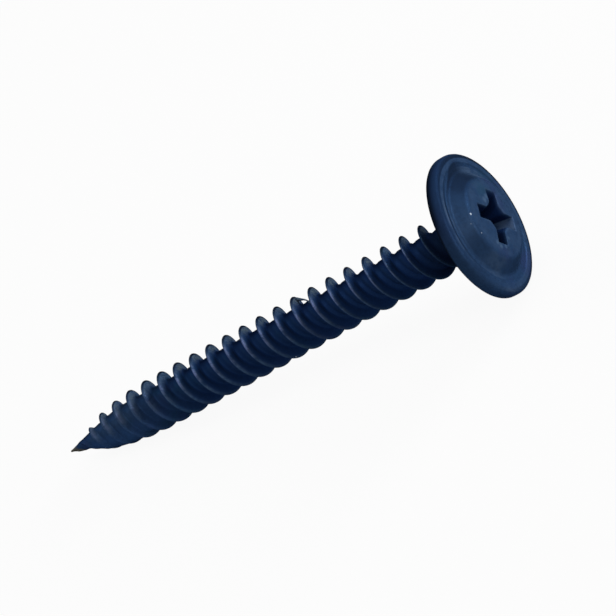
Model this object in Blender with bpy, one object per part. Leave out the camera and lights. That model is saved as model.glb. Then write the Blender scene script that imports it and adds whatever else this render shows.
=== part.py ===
"""Wafer head sheet metal screw, lying on its rim and its thread as it comes to rest.

It is one piece of steel: a wide thin head with a rounded rim, a turned-up lip and a raised boss, a cross
recess in the boss, a shank with a twin-start right-hand thread up to the head, and a gimlet point.

In the screw's own frame the axis is Z. The flat underside of the head is at zero, the head rises above it,
and the shank and its point go down. The finished screw is laid along X, with its head towards +X.
"""

import math

import bmesh
import bpy
from mathutils import Matrix, Vector

MM = 0.001

# Facets round the axis, a multiple of the thread's starts
SIDES = 40

# Shank and point
LENGTH = 41.3 * MM
CORE_RADIUS = 1.28 * MM
NECK_FILLET = 0.25 * MM
POINT_LENGTH = 6.8 * MM
POINT_BULGE = 1.3
CONE_LENGTH = 0.5 * MM

# Thread
STARTS = 2
CREST_SPACING = 1.73 * MM
THREAD_RADIUS = 2.08 * MM
RIDGE_WIDTH = 0.64 * MM
CREST_WIDTH = 0.10 * MM
CREST_LEAN = 0.09 * MM
THREAD_OFFSET = 1.60 * MM
RUN_OUT = 0.5 * MM
TAPER_LENGTH = 11.1 * MM
TAPER_POWER = 2.4
FADE_LENGTH = 3.3 * MM

# Head
HEAD_RADIUS = 5.40 * MM
SEAT_CLEARANCE = 0.22 * MM
RIM_HEIGHT = 1.00 * MM
RIM_LOWER_ROUND = 0.30 * MM
RIM_UPPER_ROUND = 0.40 * MM
LIP_WIDTH = 0.38 * MM
GROOVE_WIDTH = 0.12 * MM
GROOVE_DEPTH = 0.10 * MM
DISH_DEPTH = 0.10 * MM
DISH_WIDTH = 0.35 * MM
BOSS_RADIUS = 3.10 * MM
BOSS_HEIGHT = 1.80 * MM
CROWN_RISE = 0.15 * MM
ARC_STEPS = 4
BOSS_STEPS = 5

# Cross recess
WING_RADIUS = 2.05 * MM
WING_WIDTH = 0.95 * MM
WING_DRAFT = math.radians(25)
SIDE_DRAFT = math.radians(5)
CORNER_CUT = 0.60 * MM
CORNER_TAPER = 0.7
RECESS_DEPTH = 1.60 * MM
RECESS_CONE = 0.35 * MM
RECESS_TURN = math.radians(33.5)
CUTTER_RISE = 0.4 * MM

# Rounds of the search for the resting slope, which settles in three or four
SLOPE_ROUNDS = 8

FINISH_COLOUR = (0.012, 0.027, 0.066, 1.0)
FINISH_METALLIC = 0.55
FINISH_ROUGHNESS = 0.42


def clear_scene():
    for thing in list(bpy.data.objects):
        bpy.data.objects.remove(thing, do_unlink=True)


def arc(centre, radius, start, end, steps=ARC_STEPS):
    """Points (radius, height) of a round edge in the head's section, angles in degrees from outwards."""
    turns = [math.radians(start + (end - start) * i / steps) for i in range(steps + 1)]
    return [(centre[0] + radius * math.cos(a), centre[1] + radius * math.sin(a)) for a in turns]


def swell(start, end, steps):
    """Points of a smooth S-shaped rise between two points of the section, without its first point."""
    points = []
    for i in range(1, steps + 1):
        share = i / steps
        ease = share * share * (3 - 2 * share)
        points.append((start[0] + (end[0] - start[0]) * share, start[1] + (end[1] - start[1]) * ease))
    return points


def neck_fillet():
    """Points of the quarter ellipse from the core to the flat seat, which starts clear of the thread."""
    reach = THREAD_RADIUS + SEAT_CLEARANCE - CORE_RADIUS
    turns = [math.radians(90 * i / ARC_STEPS) for i in range(1, ARC_STEPS + 1)]
    return [(CORE_RADIUS + reach * (1 - math.cos(a)), -NECK_FILLET * (1 - math.sin(a))) for a in turns]


def head_section():
    """The head's half section: neck fillet, flat seat, rim, lip, groove, dish, boss and crown."""
    lower = arc((HEAD_RADIUS - RIM_LOWER_ROUND, RIM_LOWER_ROUND), RIM_LOWER_ROUND, -90, 0)
    upper = arc((HEAD_RADIUS - RIM_UPPER_ROUND, RIM_HEIGHT - RIM_UPPER_ROUND), RIM_UPPER_ROUND, 0, 90)
    lip = HEAD_RADIUS - RIM_UPPER_ROUND - LIP_WIDTH
    groove = RIM_HEIGHT - GROOVE_DEPTH
    dish_edge = (lip - 3 * GROOVE_WIDTH, RIM_HEIGHT - GROOVE_DEPTH / 4)
    dish = (dish_edge[0] - DISH_WIDTH, RIM_HEIGHT - DISH_DEPTH)
    boss = (BOSS_RADIUS, BOSS_HEIGHT)
    crown = (0.0, BOSS_HEIGHT + CROWN_RISE)
    section = neck_fillet() + lower + upper
    section += [(lip, RIM_HEIGHT), (lip - GROOVE_WIDTH, groove), (lip - 2 * GROOVE_WIDTH, groove), dish_edge]
    section += swell(dish_edge, dish, 2) + swell(dish, boss, BOSS_STEPS) + swell(boss, crown, 2)
    return section


def core_radius(depth):
    """Radius of the bare core: straight down the shank, then a slightly bulged point."""
    share = max(0.0, (depth - (LENGTH - POINT_LENGTH)) / POINT_LENGTH)
    return CORE_RADIUS * (1 - share ** POINT_BULGE)


def crest_radius(depth):
    """Radius of the thread's crest: it runs out at the neck, tapers with the point and fades near its end."""
    share = max(0.0, (depth - (LENGTH - TAPER_LENGTH)) / TAPER_LENGTH)
    height = THREAD_RADIUS * (1 - share ** TAPER_POWER) - core_radius(depth)
    rise = min(1.0, (depth - NECK_FILLET) / RUN_OUT)
    left = min(1.0, (LENGTH - CONE_LENGTH - depth) / FADE_LENGTH)
    return core_radius(depth) + max(0.0, height) * rise * left * left


class ThreadGrid:
    """The vertices of the threaded shank, by start, column and track across the ridge."""

    def __init__(self, mesh, neck_ring, point_ring):
        self.mesh = mesh
        self.neck_ring = neck_ring
        self.point_ring = point_ring
        self.lead = CREST_SPACING * STARTS
        self.last = LENGTH - CONE_LENGTH
        half = RIDGE_WIDTH / 2
        flat = CREST_WIDTH / 2
        self.tracks = [(-half, False), (CREST_LEAN - flat, True), (CREST_LEAN + flat, True), (half, False)]
        self.found = {}

    def vertex(self, start, column, track):
        place = (column + start * SIDES // STARTS) % SIDES
        offset, on_crest = self.tracks[track]
        depth = THREAD_OFFSET + self.lead * column / SIDES + offset
        closest = self.lead / SIDES / 2
        if depth < NECK_FILLET + closest:
            return self.neck_ring[place]
        if depth > self.last - closest:
            return self.point_ring[place]
        key = (start, column, track)
        if key not in self.found:
            radius = crest_radius(depth) if on_crest else core_radius(depth)
            self.found[key] = self.mesh.verts.new(on_axis_column(place, radius, -depth))
        return self.found[key]

    def columns(self):
        """The range of columns that holds every part of the ridge between the neck and the point."""
        first = math.floor((NECK_FILLET - THREAD_OFFSET - RIDGE_WIDTH) / self.lead * SIDES) - SIDES
        end = math.ceil((self.last - THREAD_OFFSET + RIDGE_WIDTH) / self.lead * SIDES)
        return range(first, end)


def on_axis_column(column, radius, height):
    """A point on one of the evenly spaced columns, which turn as a right-hand thread does going down."""
    angle = -2 * math.pi * column / SIDES
    return (radius * math.cos(angle), radius * math.sin(angle), height)


def ring(mesh, radius, height):
    return [mesh.verts.new(on_axis_column(i, radius, height)) for i in range(SIDES)]


def add_face(mesh, corners):
    """A face on the corners that differ, so that a strip may narrow to nothing."""
    distinct = list(dict.fromkeys(corners))
    if len(distinct) > 2:
        mesh.faces.new(distinct)


def join_rings(mesh, upper, lower):
    for i in range(SIDES):
        j = (i + 1) % SIDES
        add_face(mesh, (upper[i], lower[i], lower[j], upper[j]))


def close_ring(mesh, edge, height):
    """A cone from a ring to a point on the axis."""
    tip = mesh.verts.new((0.0, 0.0, height))
    for i in range(SIDES):
        add_face(mesh, (edge[i], tip, edge[(i + 1) % SIDES]))


def build_thread(mesh, neck_ring, point_ring):
    """Each start's ridge, and the strip of bare core down to the next ridge at the same angle."""
    grid = ThreadGrid(mesh, neck_ring, point_ring)
    tracks = len(grid.tracks)
    step = SIDES // STARTS
    for start in range(STARTS):
        below = (start - 1) % STARTS
        for column in grid.columns():
            here = [grid.vertex(start, column, t) for t in range(tracks)]
            there = [grid.vertex(start, column + 1, t) for t in range(tracks)]
            here.append(grid.vertex(below, column + step, 0))
            there.append(grid.vertex(below, column + step + 1, 0))
            for t in range(tracks):
                add_face(mesh, (here[t], here[t + 1], there[t + 1], there[t]))


def screw_mesh():
    mesh = bmesh.new()
    section = head_section()
    crown_height = section.pop()[1]
    neck_ring = ring(mesh, CORE_RADIUS, -NECK_FILLET)
    rings = [neck_ring] + [ring(mesh, radius, height) for radius, height in section]
    for lower, upper in zip(rings, rings[1:]):
        join_rings(mesh, upper, lower)
    close_ring(mesh, rings[-1], crown_height)
    last = LENGTH - CONE_LENGTH
    point_ring = ring(mesh, core_radius(last), -last)
    build_thread(mesh, neck_ring, point_ring)
    close_ring(mesh, point_ring, -LENGTH)
    bmesh.ops.recalc_face_normals(mesh, faces=mesh.faces)
    return finished(mesh, "screw")


def cross_outline(radius, half_width, corner):
    """One level of the cross: four wings, with the inner corners between them cut across."""
    quarter = [
        (radius, -half_width),
        (radius, half_width),
        (half_width + corner, half_width),
        (half_width, half_width + corner),
    ]
    points = []
    for turn in range(4):
        spin = Matrix.Rotation(turn * math.pi / 2, 2)
        points += [spin @ Vector(p) for p in quarter]
    return points


def recess_mesh():
    """The cross recess as a solid cutter: wings that narrow downwards and end in a blunt cone."""
    mesh = bmesh.new()
    mouth = BOSS_HEIGHT + CROWN_RISE
    levels = []
    for depth in (-CUTTER_RISE, RECESS_DEPTH):
        radius = WING_RADIUS - depth * math.tan(WING_DRAFT)
        half_width = WING_WIDTH / 2 - depth * math.tan(SIDE_DRAFT)
        corner = CORNER_CUT * (1 - CORNER_TAPER * depth / RECESS_DEPTH)
        outline = cross_outline(radius, half_width, corner)
        levels.append([mesh.verts.new((p.x, p.y, mouth - depth)) for p in outline])
    upper, lower = levels
    count = len(upper)
    bottom = mesh.verts.new((0.0, 0.0, mouth - RECESS_DEPTH - RECESS_CONE))
    for i in range(count):
        j = (i + 1) % count
        mesh.faces.new((upper[i], lower[i], lower[j], upper[j]))
        mesh.faces.new((lower[i], bottom, lower[j]))
    mesh.faces.new(upper)
    bmesh.ops.recalc_face_normals(mesh, faces=mesh.faces)
    return finished(mesh, "recess_cutter")


def finished(mesh, name):
    data = bpy.data.meshes.new(name)
    mesh.to_mesh(data)
    mesh.free()
    return data


def add_object(name, data):
    thing = bpy.data.objects.new(name, data)
    bpy.context.scene.collection.objects.link(thing)
    return thing


def finish_material():
    material = bpy.data.materials.new("blue_black_finish")
    material.use_nodes = True
    shader = material.node_tree.nodes["Principled BSDF"]
    shader.inputs["Base Color"].default_value = FINISH_COLOUR
    shader.inputs["Metallic"].default_value = FINISH_METALLIC
    shader.inputs["Roughness"].default_value = FINISH_ROUGHNESS
    return material


def lowest(corners, slope):
    """The lowest corner when the axis dips by this slope and the screw's own X faces the ground."""
    heights = [c.z * math.sin(slope) - c.x * math.cos(slope) for c in corners]
    return corners[heights.index(min(heights))]


def resting_slope(corners):
    """Dip of the axis towards the point when the screw lies on its rim and on the lowest crest."""
    head = [c for c in corners if c.z > 0]
    thread = [c for c in corners if c.z < -NECK_FILLET]
    slope = 0.0
    for _ in range(SLOPE_ROUNDS):
        rim = lowest(head, slope)
        crest = lowest(thread, slope)
        slope = math.atan2(rim.x - crest.x, rim.z - crest.z)
    return slope


def lay_down(screw):
    """Turns the axis from Z to lie along X, then centres the screw on the ground."""
    corners = [v.co for v in screw.data.vertices]
    screw.rotation_euler = (0.0, math.pi / 2 - resting_slope(corners), 0.0)
    turned = [screw.rotation_euler.to_matrix() @ c for c in corners]
    low = [min(c[i] for c in turned) for i in range(3)]
    high = [max(c[i] for c in turned) for i in range(3)]
    screw.location = (-(low[0] + high[0]) / 2, -(low[1] + high[1]) / 2, -low[2])


def build():
    clear_scene()
    data = screw_mesh()
    screw = add_object("screw", data)
    data.materials.append(finish_material())
    lay_down(screw)
    cutter = add_object("recess_cutter", recess_mesh())
    cutter.parent = screw
    cutter.rotation_euler = (0.0, 0.0, RECESS_TURN)
    cutter.hide_render = True
    cutter.display_type = "WIRE"
    cut = screw.modifiers.new("cross recess", "BOOLEAN")
    cut.operation = "DIFFERENCE"
    cut.solver = "EXACT"
    cut.object = cutter
    data.shade_smooth()
    data.set_sharp_from_angle(angle=math.radians(35))


build()
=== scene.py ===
"""Wafer head screw with its fine form and its blue-black finish, on a plain pale floor.

The finely meshed screw stands for the CAD solid. Its sizes are the solid's, but for the thread's run-out
and fade and the cross recess, which were measured more closely here. In its own frame the axis is Z, the
flat underside of the head is at zero, the head rises above it and the point is below. Sizes are in
millimetres there.
"""

import math

import bpy
import numpy as np
from mathutils import Matrix, Vector


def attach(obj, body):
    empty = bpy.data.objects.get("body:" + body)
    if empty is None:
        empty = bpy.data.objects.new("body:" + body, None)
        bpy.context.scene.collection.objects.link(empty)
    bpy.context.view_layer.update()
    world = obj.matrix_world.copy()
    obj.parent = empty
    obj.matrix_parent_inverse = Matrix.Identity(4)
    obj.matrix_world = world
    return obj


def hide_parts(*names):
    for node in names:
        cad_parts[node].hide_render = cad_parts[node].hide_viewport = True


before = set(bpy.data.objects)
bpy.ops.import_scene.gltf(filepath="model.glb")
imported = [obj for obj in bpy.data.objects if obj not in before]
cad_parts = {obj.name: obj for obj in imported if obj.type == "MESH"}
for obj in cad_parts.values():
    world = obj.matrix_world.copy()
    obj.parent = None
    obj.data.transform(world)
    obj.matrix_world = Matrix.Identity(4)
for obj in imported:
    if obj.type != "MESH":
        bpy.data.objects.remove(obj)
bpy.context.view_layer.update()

MM = 0.001
SIDES = 120

# How the screw lies: the dip of its axis and the middle of the seat under its head
DIP = math.radians(5.7983)
SEAT_MIDDLE = (19.4924, 0.0, 5.3421)

# Shank and point
LENGTH = 41.3
CORE_RADIUS = 1.28
NECK_FILLET = 0.25
POINT_LENGTH = 6.8
POINT_BULGE = 1.3
CONE_LENGTH = 0.25
BLUNT_RADIUS = 0.085
BLUNT_LENGTH = 0.12
BARE_LENGTH = 2.2

# Thread
STARTS = 2
LEAD = 3.46
THREAD_RADIUS = 2.08
THREAD_OFFSET = 1.60
RUN_OUT = 2.8
TAPER_LENGTH = 11.1
TAPER_POWER = 2.4
FADE_LENGTH = 3.55

# How the rolled metal departs from a plain ridge and groove: the root's sag and the share of it that stays
# far from the head, the share by which a ridge is leaner on the head's side near the head, how far a groove
# is filled near the point, and the swelling by the tip
SAG_DEPTH = 0.09
SAG_LEAST = 0.25
FLANK_LEAN = 0.45
FILLED_SHARE = 0.88
LEDGE_HEIGHT = 0.09

# Where each of them starts, eases or ends: a depth under the head and the length over which it does
SAG_START = (0.0, 1.5)
SAG_EASE = (22, 12)
SAG_END = (36, 6)
LEAN_END = (9, 5)
FILLED_START = (30.5, 4)
FILLED_END = (40, 1.5)
LEDGE_START = (39.3, 0.3)
LEDGE_END = (40.75, 0.4)

# Across one ridge, from its foot on the head's side: offset along the axis, share of the ridge's height,
# how much rubbing and painted light the crest has, how much rubbing and painted light the flank has, and how
# much shade is painted on it
RIDGE = (
    (-0.40, 0.0, 0.0, 0.0, 0.65),
    (-0.36, 0.006, 0.0, 0.0, 0.65),
    (-0.32, 0.035, 0.0, 0.1, 0.75),
    (-0.27, 0.11, 0.0, 0.3, 0.85),
    (-0.20, 0.30, 0.0, 0.8, 0.75),
    (-0.13, 0.48, 0.1, 1.0, 0.75),
    (-0.06, 0.68, 0.50, 1.0, 0.70),
    (-0.03, 0.77, 0.80, 1.0, 0.50),
    (0.0, 0.85, 1.0, 0.3, 0.2),
    (0.03, 0.94, 1.0, 0.0, 0.0),
    (0.06, 0.985, 1.0, 0.0, 0.0),
    (0.09, 1.0, 0.80, 0.0, 0.3),
    (0.13, 0.975, 0.20, 0.0, 0.8),
    (0.16, 0.92, 0.0, 0.0, 1.0),
    (0.18, 0.85, 0.0, 0.0, 1.0),
    (0.26, 0.40, 0.0, 0.0, 1.0),
    (0.30, 0.12, 0.0, 0.0, 1.0),
    (0.33, 0.035, 0.0, 0.0, 1.0),
    (0.37, 0.006, 0.0, 0.0, 1.0),
    (0.41, 0.0, 0.0, 0.0, 1.0),
)

# Across the groove between two ridges: share of its width, share of its sag, how much rubbing and painted
# light it has and how much shade is painted on it
ROOT = (
    (0.30, 0.0, 0.0, 0.72),
    (0.55, 0.25, 0.12, 0.50),
    (0.72, 0.85, 0.0, 0.72),
    (0.88, 1.0, 0.0, 0.72),
)

# Directions round the screw's own axis: the middle and the spread, in degrees. Besides the filled groove, the
# ledge and the tip's bare side, they place painted light and shade on the thread and the tip
UPPER_SIDE = (150, 42)
FRONT = (207, 55)
LOWER_SIDE = (322, 42)
LEDGE_SIDE = (312, 32)
HAZE_LIT_SIDE = (280, 34)
FLANK_SHADE_SIDE = (226, 40)
SHADED_ROOT = (172, 30)
EDGE_SHADED_ROOT = (165, 34)
SHADED_TIP_SIDE = (140, 35)
BARE_TIP = (312, 35)

# Depths under the head at which the thread's look changes, each with the length over which it does
BY_HEAD = (5.2, 2.5)
CREST_RUB_AND_LIGHT = (-1, 6)
FLANK_RUB_AND_LIGHT = (5, 8)
SOFT_WEAR_AND_LIGHT = (26, 8)
LAST_TURN = (38.2, 0.8)

# The painted shade on a ridge's flank: its middle and its half width, as shares of the ridge's height
FLANK_SHADE = (0.30, 0.26)

# Head
HEAD_RADIUS = 5.40
SEAT_INNER = 2.30
RIM_HEIGHT = 1.00
RIM_LOWER_ROUND = 0.30
RIM_UPPER_ROUND = 0.40
LIP_OUTER = 4.93
LIP_LINE = 4.74
LIP_INNER = 4.64
GROOVE_OUTER = 4.52
GROOVE_INNER = 4.38
GROOVE_HEIGHT = 0.90
GROOVE_ROUND = 0.05
DISH_RADIUS = 4.28
DISH_HEIGHT = 0.96
SLOPE_RADIUS = 3.95
SLOPE_HEIGHT = 0.92
SHOULDER_WIDTH = 0.50
SHOULDER_ROUND = 0.95
FLAT_INNER = 4.05
FLAT_OUTER = 4.66
FLAT_HEIGHT = 0.93
FLAT_RISE = 0.12
FLAT_SHARE = 0.85
BOSS_RADIUS = 3.10
BOSS_HEIGHT = 1.80
CROWN_RISE = 0.15

# For the head's looks: the rim's inner radius, the height at which its top begins, the least height of the
# head's top side, and painted highlight rings on the lip and in the dish, each with its radius and half width
RIM_INNER = 5.00
RIM_TOP = 0.90
TOP_SIDE = 0.80
LIP_RING = (LIP_LINE, 0.12)
DISH_RING = (4.24, 0.10)
# Painted highlight strokes on the lip, each with its radius and half width
STROKES = ((4.78, 0.14), (4.20, 0.10))

# Sides of the head at which the rolled groove is shallower, and at which each look is strongest: the
# direction round the screw's own axis and the spread, in degrees. The looks are painted light and shade.
FLAT_SIDES = ((160, 42), (330, 48))
HEAD_SIDES = {
    "left": (200, 55),
    "under_rim": (270, 45),
    "lip_ring": (228, 38),
    "dish_ring": (222, 18),
    "high_shade": (148, 24),
    "near_slope": (224, 38),
    "upper_shade": (167, 27),
    "lower_shade": (252, 18),
    "far_shade": (66, 16),
    "shaded_lip": (270, 28),
    "shaded_slope": (170, 32),
    "upper_slope": (122, 28),
    "lower_slope": (292, 26),
    "lower_rim": (314, 26),
    "left_rim": (188, 52),
    "near_rim": (268, 24),
    "strokes": (210, 7),
    "far_rim": (75, 100),
    "groove": (228, 42),
}

# Cross recess
WING_RADIUS = 2.08
WING_WIDTH = 1.06
WING_DRAFT = math.radians(25)
SIDE_DRAFT = math.radians(5)
CORNER_CUT = 0.48
CORNER_TAPER = 0.7
RECESS_DEPTH = 1.60
RECESS_CONE = 0.35
RECESS_TURN = math.radians(30.5)
RECESS_SHIFT = np.array([0.092, 0.077])
MOUTH_ROUND = 0.07
INNER_ROUND = 0.12
END_ROUND = 0.06

# The burr's path in the screw's own frame, with its half thickness
BURR = (
    (-1.484, 1.108, -15.780, 0.130),
    (-1.440, 0.950, -15.560, 0.135),
    (-1.420, 0.746, -15.230, 0.095),
    (-1.420, 0.539, -14.880, 0.055),
    (-1.380, 0.287, -14.564, 0.042),
    (-1.338, 0.141, -14.428, 0.042),
    (-1.275, -0.041, -14.268, 0.050),
)

# Bright specks of painted glint, in the screw's own frame, with their radius and strength
GLINT_SPECKS = (
    (-2.309, -1.972, 1.780, 0.10, 0.62),
    (-1.985, -2.589, 1.622, 0.06, 0.14),
    (-1.054, -2.733, 1.814, 0.07, 0.32),
    (1.318, -1.484, -17.645, 0.06, 0.9),
)

# Soft grey rubs round the recess's mouth, partly painted highlights on its rounded edge, in the screw's own
# frame, with their radius and strength
MOUTH_RUBS_AND_HIGHLIGHTS = (
    (-1.38, 0.45, 1.92, 0.34, 0.50),
    (-1.30, 0.90, 1.92, 0.30, 0.50),
    (0.55, -2.15, 1.87, 0.26, 0.50),
    (0.95, -2.15, 1.87, 0.26, 0.55),
    (1.40, -1.75, 1.87, 0.24, 0.45),
    (0.42, -0.95, 1.90, 0.26, 0.35),
    (1.50, -0.80, 1.90, 0.22, 0.35),
)

# The photograph's camera, in millimetres from the seat's middle
FOCAL_PIXELS = 2113.47
IMAGE_PIXELS = 616
SENSOR = 36.0
CAMERA_SHIFT = (11.504, -5.478, 145.922)
AXIS_ANGLE = math.radians(150.882)
AXIS_DEPTH = math.radians(32.464)
CAMERA_TURN = math.radians(30)

# Lights: name and place in metres, power in watts, size in metres
LIGHTS = (
    ("key", (0.297, -0.024, 0.046), 0.30, 0.08),
    ("upper", (0.216, 0.186, 0.093), 0.75, 0.14),
    ("overhead", (0.05, -0.02, 0.40), 0.55, 0.30),
    ("fill", (-0.28, 0.06, 0.16), 0.30, 0.20),
)

# Floor and world: the floor's half width in metres and its colour, how white it is to the camera, and the
# world's strength as a light
FLOOR_HALF = 1.5
FLOOR_COLOUR = (0.60, 0.60, 0.60, 1.0)
FLOOR_WHITE = 0.93
WORLD_LIGHT = 0.38


def held(value, low=0.0, high=1.0):
    """The value, kept between low and high."""
    return min(max(float(value), low), high)


def past(depth, start, length):
    """How far a depth is past a start, from 0 to 1 over a length."""
    return held((depth - start) / length)


def until(depth, end, length):
    """How far a depth is short of an end, from 0 to 1 over a length."""
    return held((end - depth) / length)


def band(value, middle, width):
    """1 at the middle, falling to 0 at the width on either side."""
    return held(1 - abs(value - middle) / width)


def core_radius(depth):
    """The core's radius at a depth under the head, down to the blunt tip."""
    share = past(depth, LENGTH - POINT_LENGTH, POINT_LENGTH)
    return max(CORE_RADIUS * (1 - share ** POINT_BULGE), BLUNT_RADIUS)


def ridge_height(depth):
    """How far the crest stands off the core: it runs out at the neck, tapers with the point and fades."""
    share = past(depth, LENGTH - TAPER_LENGTH, TAPER_LENGTH)
    full = THREAD_RADIUS * (1 - share ** TAPER_POWER) - core_radius(depth)
    rise = past(depth, NECK_FILLET, RUN_OUT)
    left = until(depth, LENGTH - CONE_LENGTH, FADE_LENGTH)
    return max(full, 0.0) * rise * rise * (3 - 2 * rise) * left * left


def ridge_tracks():
    """One ridge and its groove: offset along the axis, share of the ridge's height, share of the root's sag,
    how much rubbing and painted light the crest and the flank have, and how much shade is painted on them."""
    ridge = [(offset, share, 0.0, crest, flank, shade) for offset, share, crest, flank, shade in RIDGE]
    start, end = RIDGE[-1][0], RIDGE[0][0] + LEAD / STARTS
    root = [(start + (end - start) * t, 0.0, sag, rubbed_and_lit, 0.0, shade) for t, sag, rubbed_and_lit, shade in ROOT]
    return ridge + root


def root_sag(depth):
    """The groove is rolled a little below the core beside each ridge, deepest near the head."""
    eased = max(until(depth, *SAG_EASE), SAG_LEAST)
    return SAG_DEPTH * past(depth, *SAG_START) * eased * until(depth, *SAG_END)


def half_formed(depth, turn):
    """Share of the ridge's height to which the groove is filled near the point, on the lower side."""
    return FILLED_SHARE * past(depth, *FILLED_START) * until(depth, *FILLED_END) * near(turn, *LOWER_SIDE)


def ledge(depth, turn):
    """The last small swelling of the rolled metal beside the tip."""
    return LEDGE_HEIGHT * near(turn, *LEDGE_SIDE) * past(depth, *LEDGE_START) * until(depth, *LEDGE_END)


def near(angle, middle, width):
    """A soft bump round a part angle, all in degrees."""
    away = (angle - middle + 180) % 360 - 180
    return math.exp(-(away / width) ** 2)


class Mesh:
    """Collects vertices and faces, with the coating's look and its painted light and shade at each vertex."""

    # Looks: rubbing and painted highlight, painted shade, rubbing and painted light, head's painted shade,
    # painted dark borders, painted bluish light
    LOOKS = ("wear_and_highlight", "shade", "rub", "head_shade", "edge", "haze_light")

    def __init__(self):
        self.points = []
        self.faces = []
        self.looks = []

    def add(self, points, wear_and_highlight=0.0, shade=0.0, rub=0.0, head_shade=0.0, edge=0.0, haze_light=0.0):
        start = len(self.points)
        self.points.extend(points)
        self.looks.extend([(wear_and_highlight, shade, rub, head_shade, edge, haze_light)] * len(points))
        return list(range(start, start + len(points)))

    def face(self, corners):
        distinct = list(dict.fromkeys(corners))
        if len(distinct) > 2:
            self.faces.append(distinct)

    def join(self, first, second):
        """A closed band between two rings of as many vertices; seen from outside, the first ring is below."""
        count = len(first)
        for i in range(count):
            j = (i + 1) % count
            self.face((first[j], first[i], second[i], second[j]))

    def close(self, ring, point, rub=0.0, below=False):
        """A fan from a ring to a point above it, or below it."""
        tip = self.add([point], rub=rub)[0]
        count = len(ring)
        for i in range(count):
            first, second = ring[i], ring[(i + 1) % count]
            self.face((first, second, tip) if below else (second, first, tip))


def column_angle(column):
    """Columns turn as a right-hand thread does going down."""
    return -2 * math.pi * column / SIDES


def on_column(column, radius, height):
    """The place on a column at a radius and a height."""
    angle = column_angle(column)
    return (radius * math.cos(angle), radius * math.sin(angle), height)


def ring(mesh, radius, height):
    """A ring of plain vertices, one on each column."""
    return mesh.add([on_column(i, radius, height) for i in range(SIDES)])


def thread_finish(depth, turn, offset, share, crest_rub_and_light, flank_rub_and_light, shade):
    """The looks at a place of the thread. The crests show rubbing and painted highlights, lightest in front;
    the upper side's fins are painted lit grey with borders of painted shade; roots and flanks get painted
    shade; and towards the point the turns are softly scuffed all over and painted lighter, most in front."""
    front, upper = near(turn, *FRONT), near(turn, *UPPER_SIDE)
    soft, last_turn = past(depth, *SOFT_WEAR_AND_LIGHT), past(depth, *LAST_TURN)
    by_head = until(depth, *BY_HEAD)
    crest_rub_and_light *= max(past(depth, *FLANK_RUB_AND_LIGHT), 0.3) if share < 0.9 else max(past(depth, *CREST_RUB_AND_LIGHT), 0.55)
    crest = crest_rub_and_light * (0.30 + 0.65 * front) * (1 - upper) * (1 - 0.85 * soft)
    wear_and_highlight = (crest + soft * (0.30 + 0.36 * flank_rub_and_light) * min(1.0, 1.25 * front)) * (1 - last_turn)
    haze_light = 0.5 * soft * near(turn, *HAZE_LIT_SIDE) * (1 - last_turn)
    # Painted shade on roots and flanks, less on the upper side's painted lit fins, and painted dark borders
    # on the upper side, on the flanks, in the roots and by the head
    dark = shade * (1 - 0.8 * flank_rub_and_light * upper) * (1 - 0.9 * soft)
    border = 0.9 if share > 0.84 else 0.45 if share < 0.05 else 0.0
    if offset > 0.2 and share > 0.3:
        border = 0.8 * soft
    edge = upper * max(border, 0.95 * last_turn)
    if offset < 0:
        flank_shade = band(share, *FLANK_SHADE) * near(turn, *FLANK_SHADE_SIDE)
        edge = max(edge, 0.6 * flank_shade * (1 - upper) * (1 - soft))
    if share < 0.05:
        dark = max(dark, near(turn, *SHADED_ROOT) * (1 - soft))
        edge = max(edge, 0.62 * near(turn, *EDGE_SHADED_ROOT) * (1 - 0.6 * soft))
    edge = max(edge, 0.68 * (1 - crest_rub_and_light) * (1 - upper * flank_rub_and_light) * by_head)
    rub = flank_rub_and_light * (upper + 0.30 * soft * front * (1 - last_turn))
    return wear_and_highlight, dark, rub, 0.0, edge, haze_light


def build_thread(mesh, neck_ring, point_ring):
    """Every start's rounded ridge and the strip of core between it and the next ridge down the same side."""
    tracks = ridge_tracks()
    spacing = LEAD / STARTS
    step = SIDES // STARTS
    last = LENGTH - CONE_LENGTH
    closest = LEAD / SIDES / 2
    found = {}

    def vertex(start, column, track):
        place = (column + start * step) % SIDES
        offset, share, sag, crest_rub_and_light, flank_rub_and_light, shade = tracks[track]
        middle = THREAD_OFFSET + LEAD * column / SIDES
        if offset < 0 and share > 0.1:
            offset *= 1 - FLANK_LEAN * until(middle, *LEAN_END)
        depth = middle + offset
        if depth < NECK_FILLET + closest:
            return neck_ring[place]
        if depth > last - closest:
            return point_ring[place]
        key = (start, column, track)
        if key not in found:
            turn = math.degrees(column_angle(place)) % 360
            filled = max(share, half_formed(depth, turn))
            radius = core_radius(depth) + filled * ridge_height(depth)
            radius = radius - sag * root_sag(depth) + ledge(depth, turn)
            looks = thread_finish(depth, turn, offset, share, crest_rub_and_light, flank_rub_and_light, shade)
            found[key] = mesh.add([on_column(place, radius, -depth)], *looks)[0]
        return found[key]

    first = math.floor((NECK_FILLET - THREAD_OFFSET - spacing) / LEAD * SIDES) - SIDES
    end = math.ceil((last - THREAD_OFFSET + spacing) / LEAD * SIDES)
    for start in range(STARTS):
        below = (start - 1) % STARTS
        for column in range(first, end):
            here = [vertex(start, column, t) for t in range(len(tracks))]
            there = [vertex(start, column + 1, t) for t in range(len(tracks))]
            here.append(vertex(below, column + step, 0))
            there.append(vertex(below, column + step + 1, 0))
            for t in range(len(tracks)):
                mesh.face((here[t], here[t + 1], there[t + 1], there[t]))


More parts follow.
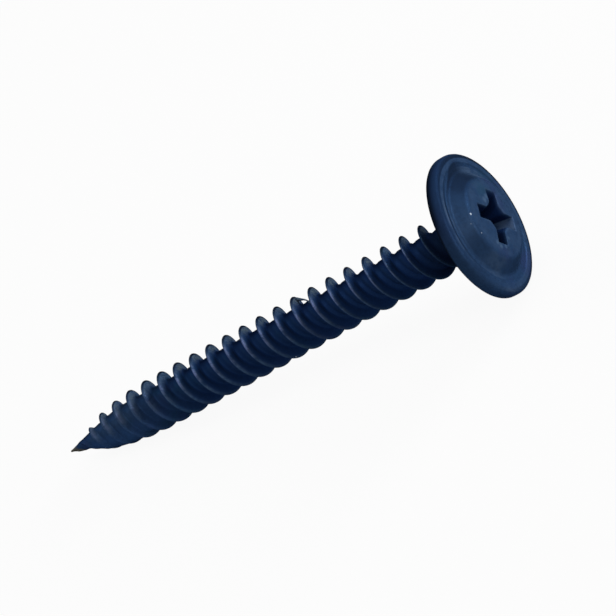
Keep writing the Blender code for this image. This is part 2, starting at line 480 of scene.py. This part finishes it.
def rounded(corners, steps=6):
    """Replaces each corner (radius, height, round) of the head's section by an arc."""
    path = [np.array(corners[0][:2])]
    for before, corner, after in zip(corners, corners[1:], corners[2:]):
        here = np.array(corner[:2])
        back = np.array(before[:2]) - here
        ahead = np.array(after[:2]) - here
        back_length, ahead_length = np.linalg.norm(back), np.linalg.norm(ahead)
        back, ahead = back / back_length, ahead / ahead_length
        turn = math.pi - math.acos(held(back @ ahead, -1.0))
        reach = min(corner[2] * math.tan(turn / 2), 0.49 * back_length, 0.49 * ahead_length)
        if reach < 1e-6:
            path.append(here)
            continue
        start, finish = here + back * reach, here + ahead * reach
        for i in range(steps + 1):
            t = i / steps
            weight = 1 / math.cos(turn / 2)
            blend = (1 - t) ** 2 + 2 * t * (1 - t) / weight + t ** 2
            path.append(((1 - t) ** 2 * start + 2 * t * (1 - t) / weight * here + t ** 2 * finish) / blend)
    path.append(np.array(corners[-1][:2]))
    return [(float(p[0]), float(p[1])) for p in path]


def head_section():
    """The head's half section, from the foot of the neck fillet round the rim to the boss's shoulder."""
    section = rounded([
        (CORE_RADIUS, -NECK_FILLET, 0.0),
        (CORE_RADIUS, 0.0, NECK_FILLET),
        (SEAT_INNER, 0.0, 0.0),
        (HEAD_RADIUS, 0.0, RIM_LOWER_ROUND),
        (HEAD_RADIUS, RIM_HEIGHT, RIM_UPPER_ROUND),
        (LIP_INNER, RIM_HEIGHT, GROOVE_ROUND),
        (GROOVE_OUTER, GROOVE_HEIGHT, GROOVE_ROUND),
        (GROOVE_INNER, GROOVE_HEIGHT, GROOVE_ROUND),
        (DISH_RADIUS, DISH_HEIGHT, 0.10),
        (SLOPE_RADIUS, SLOPE_HEIGHT, 0.60),
        (BOSS_RADIUS - 0.02, BOSS_HEIGHT + 0.01, SHOULDER_ROUND),
        (BOSS_RADIUS - SHOULDER_WIDTH, crown(BOSS_RADIUS - SHOULDER_WIDTH), 0.0),
    ])
    rim_end = max(i for i, (radius, height) in enumerate(section) if radius > RIM_INNER - 0.01)
    section[rim_end + 1:rim_end + 1] = [(LIP_OUTER, RIM_HEIGHT), (LIP_LINE, RIM_HEIGHT)]
    return section


def head_finish(radius, height, angle):
    """The looks at a place of the head: painted lit on the boss, the lip and the near slope, with painted
    highlight rings and strokes on the lip and in the dish, painted shade on the upper slope and the rim's
    near side, and painted dark shade round the rim's far edge, in the groove and under it."""
    turn = math.degrees(angle) % 360

    def at(side):
        return near(turn, *HEAD_SIDES[side])

    left = at("left")
    # The rim's side and foot: painted shade, darkest on the left and at the foot
    if height < TOP_SIDE or (radius > RIM_INNER and height < RIM_TOP):
        foot = held((0.05 + 0.40 * left - height) / 0.1) * (radius > RIM_INNER)
        return 0.0, 0.22 * (1 - at("under_rim")), 0.0, 0.15 + 0.55 * left, 0.9 * foot
    boss = held((BOSS_RADIUS + 0.05 - radius) / 0.35)
    rounding = held((radius - LIP_OUTER - 0.01) / 0.05)
    lip = held((radius - GROOVE_OUTER + 0.02) / 0.12) * (1 - rounding)
    lip_ring = band(radius, *LIP_RING) * at("lip_ring")
    dish_ring = band(radius, *DISH_RING) * at("dish_ring")
    groove = held((radius - GROOVE_INNER + 0.06) / 0.06) * held((GROOVE_OUTER + 0.04 - radius) / 0.06)
    slope = held((GROOVE_INNER + 0.02 - radius) / 0.1) * (1 - boss)
    # Painted shade on the dish and slope round the boss, strongest on the upper side
    shaded_dish = held((4.14 + 0.66 * at("high_shade") - radius) / 0.14) * (1 - boss)
    rubbed_and_lit = at("near_slope")
    dish_shade = 0.10 * (1 - rubbed_and_lit) + 1.35 * at("upper_shade") + 0.45 * at("lower_shade") + 0.5 * at("far_shade")
    lit_lip = lip * (1 - shaded_dish) * (1 - 0.8 * at("shaded_lip"))
    lit = max(boss, lit_lip, slope * rubbed_and_lit * (1 - at("shaded_slope")))
    wear_and_highlight = max(
        0.34 * lit,
        slope * max(0.55 * at("upper_slope"), 0.42 * at("lower_slope")),
        0.45 * rounding * at("lower_rim"),
        0.75 * lip_ring,
        0.7 * dish_ring,
    )
    head_shade = max(
        shaded_dish * min(1.0, dish_shade),
        0.75 * rounding * at("left_rim"),
        0.4 * (rounding + lip) * at("near_rim"),
    )
    strokes = max(band(radius, *stroke) for stroke in STROKES) * at("strokes")
    edge = max(0.97 * rounding * at("far_rim"), 0.6 * groove * at("groove"))
    return wear_and_highlight, 0.12 * rounding * left, 0.9 * strokes, head_shade, edge


def flattened(radius, height, angle):
    """The height of a place of the head, with the rolled groove shallower on the upper and lower sides."""
    if height < TOP_SIDE or not FLAT_INNER < radius < FLAT_OUTER:
        return height
    turn = math.degrees(angle) % 360
    share = FLAT_SHARE * max(near(turn, *side) for side in FLAT_SIDES)
    return height + share * (FLAT_HEIGHT + FLAT_RISE * (radius - FLAT_INNER) - height)


def crown(radius):
    """Height of the boss's low dome."""
    return BOSS_HEIGHT + CROWN_RISE * (1 - (radius / BOSS_RADIUS) ** 2)


def arc_between(start, corner, finish, steps):
    """Points of a corner rounded off between two points on its sides, both ends included."""
    points = []
    for i in range(steps + 1):
        t = i / steps
        points.append((1 - t) ** 2 * start + 2 * t * (1 - t) * corner + t ** 2 * finish)
    return points


def along(start, finish, steps):
    """Points between two points, without its ends."""
    return [start + (finish - start) * i / steps for i in range(1, steps)]


def rotated(point, angle):
    """A place in the plane, turned round its middle."""
    c, s = math.cos(angle), math.sin(angle)
    return np.array([c * point[0] - s * point[1], s * point[0] + c * point[1]])


def cross_outline(radius, half_width, cut):
    """One level of the cross as SIDES points, with its wings' corners rounded, from the middle of a cut
    corner."""
    inner = np.array([half_width + cut, half_width])
    inner_low = np.array([half_width + cut, -half_width])
    cut_low = np.array([half_width, -half_width - cut])
    cut_high = np.array([half_width, half_width + cut])
    end_low = np.array([radius, -half_width])
    end_high = np.array([radius, half_width])

    def toward(a, b, distance):
        return a + (b - a) / np.linalg.norm(b - a) * distance

    quarter = [(inner_low + cut_low) / 2]
    for before, corner, after, reach, straight_steps, round_steps in (
        (cut_low, inner_low, end_low, INNER_ROUND, 3, 2),
        (inner_low, end_low, end_high, END_ROUND, 5, 3),
        (end_low, end_high, inner, END_ROUND, 4, 3),
        (end_high, inner, cut_high, INNER_ROUND, 5, 2),
    ):
        start, finish = toward(corner, before, reach), toward(corner, after, reach)
        quarter += along(quarter[-1], start, straight_steps)
        quarter += arc_between(start, corner, finish, round_steps)
    quarter += along(quarter[-1], (inner + cut_high) / 2, 3)
    points = []
    for turn in range(4):
        points += [rotated(p, turn * math.pi / 2) for p in quarter]
    return points


def recess_levels():
    """(depth, how far the outline is widened) from the crown down the rounded mouth, then down the drafted
    walls."""
    levels = []
    for degrees in (0, 30, 60, 90):
        a = math.radians(degrees)
        levels.append((MOUTH_ROUND * (1 - math.cos(a)), MOUTH_ROUND * (1 - math.sin(a))))
    for share in (0.15, 0.35, 0.55, 0.75, 0.9, 1.0):
        levels.append((MOUTH_ROUND + (RECESS_DEPTH - MOUTH_ROUND) * share, 0.0))
    return levels


def level_points(depth, wider):
    """The cross's outline at a depth under the crown, narrowed by the drafts."""
    radius = WING_RADIUS - depth * math.tan(WING_DRAFT) + wider
    half_width = WING_WIDTH / 2 - depth * math.tan(SIDE_DRAFT) + wider
    cut = CORNER_CUT * (1 - CORNER_TAPER * depth / RECESS_DEPTH)
    return cross_outline(radius, half_width, cut)


def onto_columns(points):
    """Puts the cross in its place and lines its points up with the columns, which run the other way round."""
    turned = [rotated(p, RECESS_TURN) + RECESS_SHIFT for p in points]
    first = math.atan2(turned[0][1], turned[0][0])
    shift = round(-first / (2 * math.pi) * SIDES)
    return [turned[(shift - i) % SIDES] for i in range(SIDES)]


def build_recess(mesh, shoulder, shoulder_radius):
    """The crown in to the mouth, then the mouth's round, the walls and the floor of the cross recess. Shade
    is painted deeper with depth, and the end wall of one wing is painted lit."""
    mouth = onto_columns(level_points(*recess_levels()[0]))
    below = shoulder
    for share in (0.35, 0.7, 0.9):
        loop = []
        for i, p in enumerate(mouth):
            outer = np.array(on_column(i, shoulder_radius, 0.0)[:2])
            q = outer + (p - outer) * share
            loop.append((q[0], q[1], crown(float(np.hypot(*q)))))
        # The crown round the mouth is painted lit like the boss
        above = mesh.add(loop, 0.30)
        mesh.join(below, above)
        below = above
    deepest = None
    c, s = math.cos(RECESS_TURN), math.sin(RECESS_TURN)
    for depth, wider in recess_levels():
        level = onto_columns(level_points(depth, wider))
        end = WING_RADIUS - depth * math.tan(WING_DRAFT) + wider
        above = []
        for p in level:
            x, y = p - RECESS_SHIFT
            # Painted light and shade: one wing's end wall lit, shade deeper with depth, the mouth lighter by
            # rubbing and dark borders deeper down
            lit = held((c * x + s * y - end + 0.22) / 0.10) * held((1.4 - depth) / 0.2)
            shade = held(depth / 0.25) * (1 - 0.9 * lit)
            wear_and_highlight = max(held(0.45 - 3 * depth), 0.60 * lit)
            away = math.degrees(math.atan2(y, x) - RECESS_TURN) % 360
            edge = held(depth / 0.4) * (1 - lit) * (0.38 + 0.35 * near(away, 270, 35))
            above += mesh.add([(p[0], p[1], crown(float(np.hypot(*p))) - depth)], wear_and_highlight, shade, 0.0, 0.0, edge)
        mesh.join(below, above)
        below = above
        deepest = level
    floor_height = BOSS_HEIGHT + CROWN_RISE - RECESS_DEPTH
    for share in (0.9, 0.6, 0.3):
        height = floor_height - RECESS_CONE * (1 - share)
        above = mesh.add([(*(RECESS_SHIFT + (p - RECESS_SHIFT) * share), height) for p in deepest], 0.0, 1.0)
        mesh.join(below, above)
        below = above
    mesh.close(below, (*RECESS_SHIFT, floor_height - RECESS_CONE))


def build_burr(mesh):
    """A thin burr that bridges from one crest to the foot of the next ridge on the upper side."""
    path = [np.array(p[:3]) for p in BURR]
    below = None
    for i, (x, y, z, thick) in enumerate(BURR):
        ahead = path[min(i + 1, len(path) - 1)] - path[max(i - 1, 0)]
        ahead /= np.linalg.norm(ahead)
        out = np.array([x, y, 0.0]) / math.hypot(x, y)
        across = np.cross(ahead, out)
        across /= np.linalg.norm(across)
        out = np.cross(across, ahead)
        loop = []
        for k in range(8):
            angle = -2 * math.pi * k / 8
            loop.append(tuple(path[i] + thick * (1.4 * math.cos(angle) * across + math.sin(angle) * -out)))
        above = mesh.add(loop, rub=1.0)
        if below is None:
            mesh.close(above, tuple(path[i] - 0.02 * ahead), 1.0, below=True)
        else:
            mesh.join(below, above)
        below = above
    mesh.close(below, tuple(path[-1] + 0.02 * ahead), 1.0)


def screw_mesh():
    """The whole screw: the head's section turned round, the recess, the thread, the tip and the burr."""
    mesh = Mesh()
    section = head_section()
    neck_ring = ring(mesh, *section[0])
    below = neck_ring
    for radius, height in section[1:]:
        above = []
        for i in range(SIDES):
            angle = column_angle(i)
            place = on_column(i, radius, flattened(radius, height, angle))
            above += mesh.add([place], *head_finish(radius, height, angle))
        mesh.join(below, above)
        below = above
    build_recess(mesh, below, section[-1][0])
    last = LENGTH - CONE_LENGTH
    point_ring = ring(mesh, core_radius(last), -last)
    build_thread(mesh, neck_ring, point_ring)
    mesh.close(point_ring, (0.0, 0.0, BLUNT_LENGTH - LENGTH), below=True)
    build_burr(mesh)
    return mesh


def lying():
    """The matrix from the screw's own frame in millimetres to where it lies, in metres."""
    return (
        Matrix.Translation([v * MM for v in SEAT_MIDDLE])
        @ Matrix.Rotation(math.pi / 2 - DIP, 4, "Y")
        @ Matrix.Scale(MM, 4)
    )


class Nodes:
    """Short ways to make and join the nodes of one material."""

    def __init__(self, name):
        self.material = bpy.data.materials.new(name)
        self.material.use_nodes = True
        self.tree = self.material.node_tree
        self.shader = self.tree.nodes["Principled BSDF"]

    def add(self, kind, links=(), **values):
        """A node with its properties and its unlinked inputs set, and its inputs joined as links says."""
        node = self.tree.nodes.new(kind)
        for key, value in values.items():
            if key.startswith("in_"):
                node.inputs[int(key[3:])].default_value = value
            else:
                setattr(node, key, value)
        for index, socket in links:
            self.tree.links.new(socket, node.inputs[index])
        return node

    def look(self, name):
        """What the mesh says of the coating under this name."""
        return self.add("ShaderNodeAttribute", attribute_name=name, attribute_type="GEOMETRY").outputs["Fac"]

    def noise(self, place, scale, detail=2.0, rough=0.5):
        node = self.add("ShaderNodeTexNoise", [("Vector", place)])
        node.inputs["Scale"].default_value = scale
        node.inputs["Detail"].default_value = detail
        node.inputs["Roughness"].default_value = rough
        return node.outputs["Fac"]

    def spread(self, value, low, high, new_low=0.0, new_high=1.0):
        """A value's range stretched to another one, smoothly and held at its ends."""
        node = self.add("ShaderNodeMapRange", [("Value", value)], interpolation_type="SMOOTHSTEP")
        for name, number in zip(("From Min", "From Max", "To Min", "To Max"), (low, high, new_low, new_high)):
            node.inputs[name].default_value = number
        return node.outputs["Result"]

    def math(self, operation, first, second):
        """The result of an operation on two values, each a number or a socket."""
        node = self.add("ShaderNodeMath", operation=operation)
        for index, value in ((0, first), (1, second)):
            if isinstance(value, (int, float)):
                node.inputs[index].default_value = value
            else:
                self.tree.links.new(value, node.inputs[index])
        return node.outputs[0]

    def mix(self, factor, first, second):
        """The first colour turned towards the second, each a colour or a socket."""
        node = self.add("ShaderNodeMix", [(0, factor)], data_type="RGBA")
        for index, value in ((6, first), (7, second)):
            if isinstance(value, tuple):
                node.inputs[index].default_value = (*value, 1.0)
            else:
                self.tree.links.new(value, node.inputs[index])
        return node.outputs[2]

    def join(self, socket, name):
        """Joins a socket to an input of the material's shader."""
        self.tree.links.new(socket, self.shader.inputs[name])


# Colours of the coating: its tints, painted shade, rubbing and painted highlights, painted bluish light,
# painted dark borders, painted glints and bare metal
NAVY = (0.0146, 0.0355, 0.0825)
TEAL = (0.0130, 0.0410, 0.0790)
VIOLET = (0.0175, 0.0325, 0.0850)
SHADE_COLOUR = (0.0042, 0.0165, 0.0690)
CLOUD_AND_SHADE = (0.0078, 0.0165, 0.0380)
WORN_AND_LIT = (0.054, 0.088, 0.150)
OLIVE = (0.050, 0.082, 0.135)
RUB_HIGHLIGHT_COLOUR = (0.056, 0.098, 0.165)
CREST = (0.078, 0.104, 0.205)
RUBBED_AND_LIT = (0.078, 0.108, 0.132)
HAZE_LIGHT_COLOUR = (0.022, 0.060, 0.170)
EDGE_SHADE_COLOUR = (0.0030, 0.0048, 0.0095)
BARE = (0.062, 0.060, 0.052)
GLINT_COLOUR = (0.45, 0.52, 0.60)


def spotted(n, place, colour, spots, core, tint):
    """The colour with a tint mixed in at each spot, at full strength out to a share of its radius."""
    for x, y, z, radius, strength in spots:
        spot = tuple(lying() @ Vector((x, y, z)))
        away = n.add("ShaderNodeVectorMath", [(0, place)], operation="DISTANCE", in_1=spot)
        share = n.spread(away.outputs["Value"], core * radius * MM, radius * MM, strength, 0.0)
        colour = n.mix(share, colour, tint)
    return colour


def finish_material():
    """Blue-black coated steel: satin, cloudy, scuffed grey along the crests and bare at the very tip, with
    painted light, shade, highlights, glints and dark borders in its colour.
    """
    n = Nodes("blue_black_coating")
    place = n.add("ShaderNodeTexCoord").outputs["Object"]
    wear_and_highlight, bare, shade = n.look("wear_and_highlight"), n.look("bare"), n.look("shade")
    broad = n.noise(place, 260.0, 3.0)
    moved = n.add("ShaderNodeVectorMath", [(0, place)], operation="ADD", in_1=(0.03, 0.05, 0.02)).outputs[0]
    other = n.noise(moved, 330.0, 3.0)
    patches = n.noise(place, 1500.0, 3.0, 0.6)
    fine = n.noise(place, 9000.0, 3.0, 0.6)
    colour = n.mix(n.spread(broad, 0.50, 0.68), NAVY, TEAL)
    colour = n.mix(n.spread(other, 0.52, 0.70), colour, VIOLET)
    rubbed_and_lit = n.mix(n.spread(other, 0.42, 0.62), WORN_AND_LIT, OLIVE)
    rubbed_and_lit = n.mix(n.spread(wear_and_highlight, 0.5, 0.85), rubbed_and_lit, CREST)
    cloudy = n.noise(place, 3200.0, 4.0, 0.7)
    colour = n.mix(n.spread(cloudy, 0.42, 0.66, 0.0, 0.35), colour, CLOUD_AND_SHADE)
    # Painted shade on the head's dish and slope and on the rim's side and rounded edge
    colour = n.mix(n.look("head_shade"), colour, CLOUD_AND_SHADE)
    # Painted shade in the thread's roots and flanks, in the recess and on the rim's side
    colour = n.mix(shade, colour, SHADE_COLOUR)
    # Painted bluish light on the turns near the point, on one side
    colour = n.mix(n.math("MULTIPLY", n.look("haze_light"), n.spread(patches, 0.25, 0.60, 0.45, 1.0)), colour, HAZE_LIGHT_COLOUR)
    # Rubbing and painted highlights: crest lines lighter in front, the lit boss, lip, slopes and recess wall
    worn_and_lit = n.math("MULTIPLY", n.spread(wear_and_highlight, 0.10, 1.0), n.spread(patches, 0.30, 0.62, 0.15, 1.0))
    colour = n.mix(worn_and_lit, colour, rubbed_and_lit)
    mottle = n.noise(place, 4200.0, 3.0, 0.65)
    # Painted light: the upper side's fins lit grey, highlight strokes on the lip, the point's front flanks;
    # the burr's grey
    rub = n.math("MULTIPLY", n.spread(n.look("rub"), 0.15, 1.0), n.spread(mottle, 0.34, 0.66, 0.15, 0.85))
    colour = n.mix(rub, colour, n.mix(n.spread(broad, 0.45, 0.60), RUBBED_AND_LIT, WORN_AND_LIT))
    # Soft grey round the recess's mouth, partly painted highlight
    colour = spotted(n, place, colour, MOUTH_RUBS_AND_HIGHLIGHTS, 0.2, RUB_HIGHLIGHT_COLOUR)
    # Painted shade: near-black borders on the upper side's crests and roots, the rim's far edge and foot, the
    # groove, the recess and the thread by the head
    colour = n.mix(n.look("edge"), colour, EDGE_SHADE_COLOUR)
    # Painted glints
    colour = spotted(n, place, colour, GLINT_SPECKS, 0.4, GLINT_COLOUR)
    tip = n.spread(n.math("ADD", bare, n.math("MULTIPLY", patches, 0.6)), 0.65, 0.95)
    colour = n.mix(tip, colour, BARE)
    n.join(colour, "Base Color")
    rough = n.spread(fine, 0.3, 0.7, 0.36, 0.50)
    rough = n.math("ADD", rough, n.spread(patches, 0.3, 0.7, -0.04, 0.05))
    n.join(rough, "Roughness")
    metal = n.math("MAXIMUM", n.spread(tip, 0.0, 1.0, 0.24, 0.60), n.spread(worn_and_lit, 0.0, 1.0, 0.24, 0.40))
    metal = n.math("MULTIPLY", metal, n.spread(n.look("edge"), 0.0, 1.0, 1.0, 0.2))
    n.join(metal, "Metallic")
    bump = n.add("ShaderNodeBump", [("Height", n.math("ADD", fine, n.math("MULTIPLY", patches, 1.5)))])
    bump.inputs["Strength"].default_value = 0.32
    bump.inputs["Distance"].default_value = 0.00002
    n.join(bump.outputs[0], "Normal")
    n.shader.inputs["Specular IOR Level"].default_value = 0.0
    n.shader.inputs["Specular Tint"].default_value = (0.08, 0.10, 0.16, 1.0)
    return n.material


def bareness(point):
    """How far the coating is gone towards the tip, most on the side away from the top; the top side is kept
    dark as painted shade.
    """
    x, y, z = point
    share = past(-z, LENGTH - BARE_LENGTH, BARE_LENGTH)
    turn = math.degrees(math.atan2(y, x)) % 360
    return share * (1 - 0.55 * near(turn, *SHADED_TIP_SIDE)) + 0.45 * near(turn, *BARE_TIP) * (share > 0.15)


def add_screw():
    """The finely meshed screw where it lies, with its coating."""
    mesh = screw_mesh()
    data = bpy.data.meshes.new("screw_fine")
    matrix = lying()
    data.from_pydata([matrix @ Vector(p) for p in mesh.points], [], mesh.faces)
    data.shade_smooth()
    for name, values in zip(mesh.LOOKS, zip(*mesh.looks)):
        data.attributes.new(name, "FLOAT", "POINT").data.foreach_set("value", values)
    bare = [bareness(p) for p in mesh.points]
    data.attributes.new("bare", "FLOAT", "POINT").data.foreach_set("value", bare)
    piece = bpy.data.objects.new("screw_fine", data)
    bpy.context.scene.collection.objects.link(piece)
    data.materials.append(finish_material())
    return piece


def camera_axes():
    """The camera's right, up and back in the lying screw's frame, and its place, from the fitted view."""
    d = np.array([
        math.cos(AXIS_DEPTH) * math.cos(AXIS_ANGLE),
        math.cos(AXIS_DEPTH) * math.sin(AXIS_ANGLE),
        math.sin(AXIS_DEPTH),
    ])
    e1 = np.cross([0.0, 0.0, 1.0], d)
    e1 /= np.linalg.norm(e1)
    seen = np.stack([d, e1, np.cross(d, e1)], 1)
    along_axis = np.array([math.cos(DIP), 0.0, math.sin(DIP)])
    up = np.array([-math.sin(DIP), 0.0, math.cos(DIP)])
    side = np.array([0.0, -1.0, 0.0])
    towards = math.cos(CAMERA_TURN) * side + math.sin(CAMERA_TURN) * up
    across = -math.sin(CAMERA_TURN) * side + math.cos(CAMERA_TURN) * up
    world = np.stack([-along_axis, across, -towards], 1)
    turn = seen @ world.T
    place = np.array(SEAT_MIDDLE) - turn.T @ np.array(CAMERA_SHIFT)
    return turn[0], -turn[1], -turn[2], place


def add_camera():
    """The camera at the photograph's place and angle."""
    right, up, back, place = camera_axes()
    data = bpy.data.cameras.new("camera")
    data.sensor_width = SENSOR
    data.lens = SENSOR * FOCAL_PIXELS / IMAGE_PIXELS
    data.clip_start = 0.01
    data.clip_end = 10.0
    camera = bpy.data.objects.new("camera", data)
    matrix = Matrix.Identity(4)
    for i in range(3):
        matrix[i][0], matrix[i][1], matrix[i][2] = right[i], up[i], back[i]
        matrix[i][3] = place[i] * MM
    camera.matrix_world = matrix
    bpy.context.scene.collection.objects.link(camera)
    bpy.context.scene.camera = camera
    return camera


def seen_rays(tree):
    """1 for the rays that show the background: camera, glossy and transmission rays."""
    rays = tree.nodes.new("ShaderNodeLightPath")
    value = rays.outputs["Is Camera Ray"]
    for name in ("Is Glossy Ray", "Is Transmission Ray"):
        node = tree.nodes.new("ShaderNodeMath")
        node.operation = "MAXIMUM"
        tree.links.new(value, node.inputs[0])
        tree.links.new(rays.outputs[name], node.inputs[1])
        value = node.outputs[0]
    return value


def scaled(tree, value, factor, base=0.0):
    """A value times a factor, plus a base."""
    node = tree.nodes.new("ShaderNodeMath")
    node.operation = "MULTIPLY_ADD"
    tree.links.new(value, node.inputs[0])
    node.inputs[1].default_value = factor
    node.inputs[2].default_value = base
    return node.outputs[0]


def add_floor():
    """A white floor that shows the screw's shadow faintly, and lights the screw only as its paint would."""
    data = bpy.data.meshes.new("floor")
    corners = [(x * FLOOR_HALF, y * FLOOR_HALF, 0) for x, y in ((-1, -1), (1, -1), (1, 1), (-1, 1))]
    data.from_pydata(corners, [], [(0, 1, 2, 3)])
    floor = bpy.data.objects.new("floor", data)
    floor.location = (0.0, 0.0, -0.00001)
    bpy.context.scene.collection.objects.link(floor)
    material = bpy.data.materials.new("pale_floor")
    material.use_nodes = True
    tree = material.node_tree
    shader = tree.nodes["Principled BSDF"]
    shader.inputs["Base Color"].default_value = FLOOR_COLOUR
    shader.inputs["Roughness"].default_value = 0.9
    shader.inputs["Specular IOR Level"].default_value = 0.0
    white = tree.nodes.new("ShaderNodeEmission")
    mix = tree.nodes.new("ShaderNodeMixShader")
    tree.links.new(scaled(tree, seen_rays(tree), FLOOR_WHITE), mix.inputs[0])
    tree.links.new(shader.outputs[0], mix.inputs[1])
    tree.links.new(white.outputs[0], mix.inputs[2])
    tree.links.new(mix.outputs[0], tree.nodes["Material Output"].inputs["Surface"])
    data.materials.append(material)
    return floor


def add_light(name, place, power, size, target=(0.0, 0.0, 0.005)):
    """A square soft light that faces the screw."""
    data = bpy.data.lights.new(name, "AREA")
    data.energy = power
    data.size = size
    light = bpy.data.objects.new(name, data)
    light.location = place
    direction = Vector(target) - Vector(place)
    light.rotation_mode = "QUATERNION"
    light.rotation_quaternion = direction.to_track_quat("-Z", "Y")
    bpy.context.scene.collection.objects.link(light)
    return light


def add_world():
    """White to the camera and in reflections, and softer as a light."""
    world = bpy.data.worlds.new("world")
    world.use_nodes = True
    tree = world.node_tree
    background = tree.nodes["Background"]
    background.inputs["Color"].default_value = (1.0, 1.0, 1.0, 1.0)
    tree.links.new(scaled(tree, seen_rays(tree), 1 - WORLD_LIGHT, WORLD_LIGHT), background.inputs["Strength"])
    bpy.context.scene.world = world


screw = add_screw()
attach(screw, "root")
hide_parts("screw")
add_camera()
add_floor()
add_world()
for light in LIGHTS:
    add_light(*light)
bpy.context.scene.view_settings.view_transform = "Standard"
